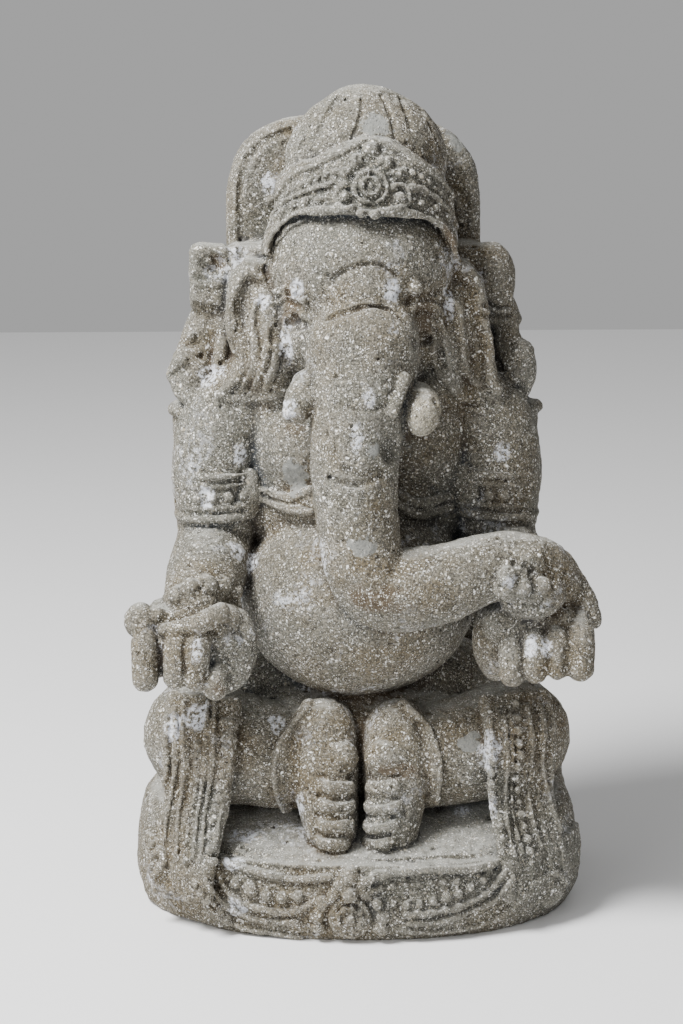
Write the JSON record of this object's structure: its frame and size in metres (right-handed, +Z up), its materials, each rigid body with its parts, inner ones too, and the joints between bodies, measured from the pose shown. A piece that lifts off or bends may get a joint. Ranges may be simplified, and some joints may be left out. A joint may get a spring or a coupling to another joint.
{
  "type": "ganesha idol",
  "caption": "Seated elephant-headed stone idol with four arms, a trunk swept to one side, an arched back slab and an oval garlanded plinth.",
  "frame": {"origin": "centre of the plinth's flat underside", "axes": "+Z up, the idol faces -Y, +X towards the idol's own left hand"},
  "size_m": [0.4552, 0.3487, 0.8],
  "materials": {
    "stone": "rough, pitted and weathered volcanic stone with pale flecks",
    "tusk_stone": "the same stone, rubbed pale"
  },
  "bodies": {
    "root": {"plinth": "stone", "back_slab": "stone", "hips": "stone", "belly": "stone", "torso": "stone", "waist_band": "stone", "head": "stone", "topknot": "stone", "diadem": "stone", "diadem_rosette": "stone", "trunk": "stone", "right_tusk": "tusk_stone", "left_tusk": "tusk_stone", "right_ear": "stone", "left_ear": "stone", "right_leg": "stone", "left_leg": "stone", "right_hem": "stone", "left_hem": "stone", "right_foot": "stone", "left_foot": "stone", "right_upper_arm": "stone", "left_upper_arm": "stone", "right_armlet": "stone", "left_armlet": "stone", "right_forearm": "stone", "left_forearm": "stone", "right_hand": "stone", "left_hand": "stone", "held_tusk": "stone", "sweet": "stone", "right_rear_arm": "stone", "left_rear_arm": "stone", "right_rear_bracelet": "stone", "left_rear_bracelet": "stone", "right_rear_hand": "stone", "left_rear_hand": "stone", "right_emblem": "stone", "left_emblem": "stone", "right_sash": "stone", "left_sash": "stone", "front_swag": "stone", "swag_rosette": "stone"}
  },
  "joints": []
}
